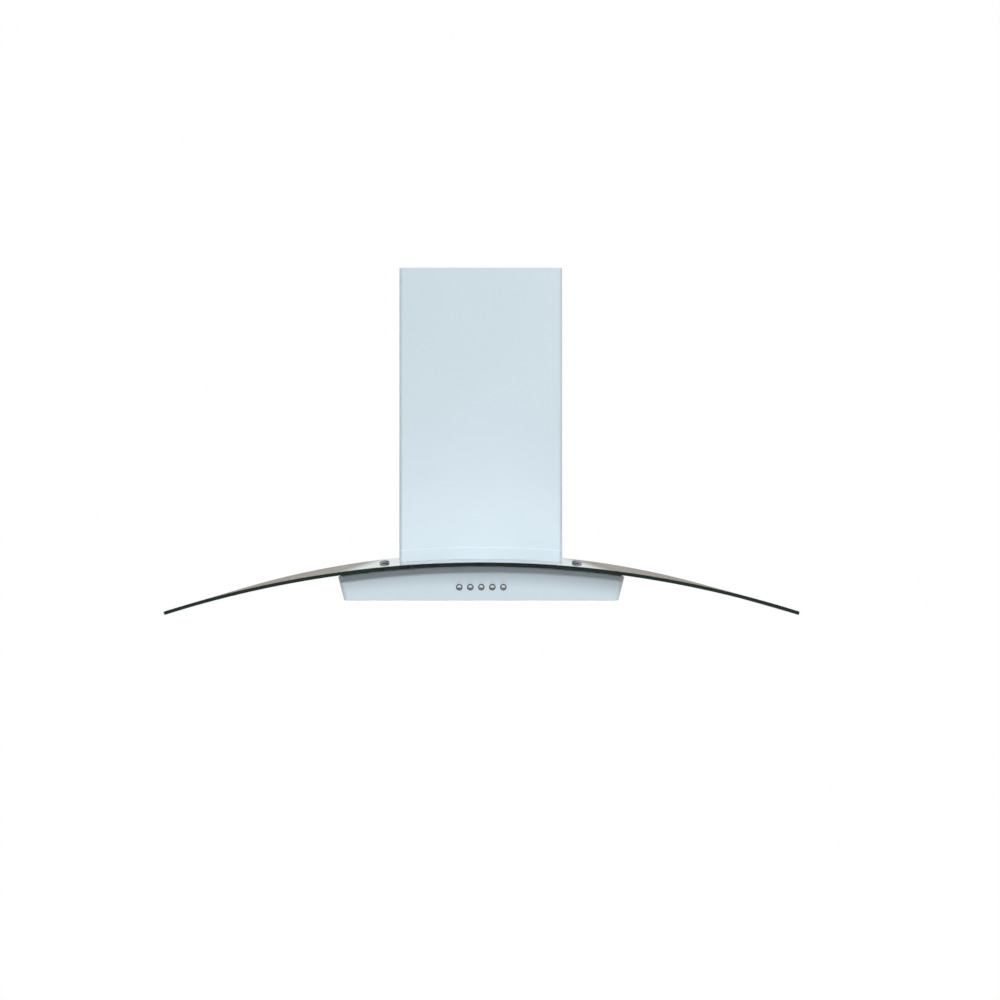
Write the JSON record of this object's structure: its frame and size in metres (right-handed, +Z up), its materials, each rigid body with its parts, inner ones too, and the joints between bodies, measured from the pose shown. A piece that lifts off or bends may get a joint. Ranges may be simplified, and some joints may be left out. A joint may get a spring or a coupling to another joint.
{
  "type": "curved glass range hood",
  "caption": "Wall-hung chimney cooker hood with an arched glass canopy, a white painted body and chimney, push buttons, drop-down grease filters and a ducted fan.",
  "frame": {"origin": "on the wall plane, on the hood's centre line, level with the top of the glass at its apex", "axes": "+X to the right across the hood as seen by someone facing it, +Y into the wall, +Z up"},
  "size_m": [0.9, 0.45, 0.5208],
  "materials": {
    "tempered_glass": "clear tempered glass, ground dark green edge",
    "white_paint": "gloss powder coat, cool white",
    "galvanised_steel": "galvanised sheet",
    "bright_steel": "bright steel",
    "chrome_button": "polished chrome",
    "aluminium": "satin",
    "filter_mesh": "layered expanded mesh",
    "seal_rubber": "matt",
    "black_plastic": "moulded",
    "white_plastic": "moulded",
    "frosted_lens": "frosted polycarbonate",
    "circuit_board": "solder resist"
  },
  "bodies": {
    "hood": {"glass_canopy": "tempered_glass", "glass_seal": "seal_rubber", "body_shell": "white_paint", "bottom_panel": "white_paint", "chimney_foot": "white_paint", "lower_chimney": "white_paint", "blower_casing": "galvanised_steel", "casing_back": "galvanised_steel", "casing_lid": "galvanised_steel", "casing_frame": "galvanised_steel", "duct_collar": "black_plastic", "damper_pin_front": "bright_steel", "damper_pin_rear": "bright_steel", "scroll_wrapper": "galvanised_steel", "scroll_side_left": "galvanised_steel", "scroll_side_right": "galvanised_steel", "motor_body": "bright_steel", "motor_bracket": "galvanised_steel", "capacitor": "aluminium", "cable_gland": "black_plastic", "switch_block": "black_plastic", "control_box": "white_plastic", "control_board": "circuit_board", "glass_fixing_left": "chrome_button", "glass_fixing_right": "chrome_button", "fixing_grommet_left": "seal_rubber", "fixing_grommet_right": "seal_rubber", "clamp_bolt_left_rear": "bright_steel", "clamp_bolt_left_front": "bright_steel", "clamp_bolt_right_rear": "bright_steel", "clamp_bolt_right_front": "bright_steel", "tie_bracket_left": "galvanised_steel", "tie_bracket_right": "galvanised_steel", "chimney_screw_left": "bright_steel", "chimney_screw_right": "bright_steel", "filter_clip_left": "bright_steel", "filter_clip_right": "bright_steel", "lamp_housing_left": "bright_steel", "lamp_housing_right": "bright_steel", "lamp_lens_left": "frosted_lens", "lamp_lens_right": "frosted_lens", "lamp_bulb_left": "frosted_lens", "lamp_bulb_right": "frosted_lens"},
    "fan_rotor": {"impeller": "white_plastic", "motor_shaft": "bright_steel"},
    "lamp_button": {"button_lamp": "chrome_button"},
    "off_button": {"button_off": "chrome_button"},
    "low_button": {"button_low": "chrome_button"},
    "medium_button": {"button_medium": "chrome_button"},
    "high_button": {"button_high": "chrome_button"},
    "left_filter": {"filter_frame_left": "aluminium", "filter_mesh_left": "filter_mesh", "filter_handle_left": "bright_steel"},
    "right_filter": {"filter_frame_right": "aluminium", "filter_mesh_right": "filter_mesh", "filter_handle_right": "bright_steel"},
    "front_flap": {"damper_flap_front": "black_plastic"},
    "rear_flap": {"damper_flap_rear": "black_plastic"},
    "telescopic_chimney": {"upper_chimney": "white_paint", "upper_bracket": "galvanised_steel"}
  },
  "joints": [
    {"name": "fan_spin", "type": "hinge", "parent": "hood", "child": "fan_rotor", "pos_m": [0, -0.15, 0.125], "axis": [1, 0, 0], "continuous": true},
    {"name": "lamp_button_press", "type": "slide", "parent": "hood", "child": "lamp_button", "axis": [0, 1, 0], "range_m": [0, 0.003], "stiffness_N_per_m": 400},
    {"name": "off_button_press", "type": "slide", "parent": "hood", "child": "off_button", "axis": [0, 1, 0], "range_m": [0, 0.003], "stiffness_N_per_m": 400},
    {"name": "low_button_press", "type": "slide", "parent": "hood", "child": "low_button", "axis": [0, 1, 0], "range_m": [0, 0.003], "stiffness_N_per_m": 400},
    {"name": "medium_button_press", "type": "slide", "parent": "hood", "child": "medium_button", "axis": [0, 1, 0], "range_m": [0, 0.003], "stiffness_N_per_m": 400},
    {"name": "high_button_press", "type": "slide", "parent": "hood", "child": "high_button", "axis": [0, 1, 0], "range_m": [0, 0.003], "stiffness_N_per_m": 400},
    {"name": "left_filter_swing", "type": "hinge", "parent": "hood", "child": "left_filter", "pos_m": [-0.087, -0.0526, -0.0575], "axis": [1, 0, 0], "range_deg": [0, 75]},
    {"name": "right_filter_swing", "type": "hinge", "parent": "hood", "child": "right_filter", "pos_m": [0.087, -0.0526, -0.0575], "axis": [1, 0, 0], "range_deg": [0, 75]},
    {"name": "front_flap_swing", "type": "hinge", "parent": "hood", "child": "front_flap", "pos_m": [0, -0.115, 0.274], "axis": [-1, 0, 0], "range_deg": [0, 70]},
    {"name": "rear_flap_swing", "type": "hinge", "parent": "hood", "child": "rear_flap", "pos_m": [0, -0.109, 0.274], "axis": [1, 0, 0], "range_deg": [0, 70]},
    {"name": "chimney_extend", "type": "slide", "parent": "hood", "child": "telescopic_chimney", "axis": [0, 0, 1], "range_m": [0, 0.3]}
  ]
}
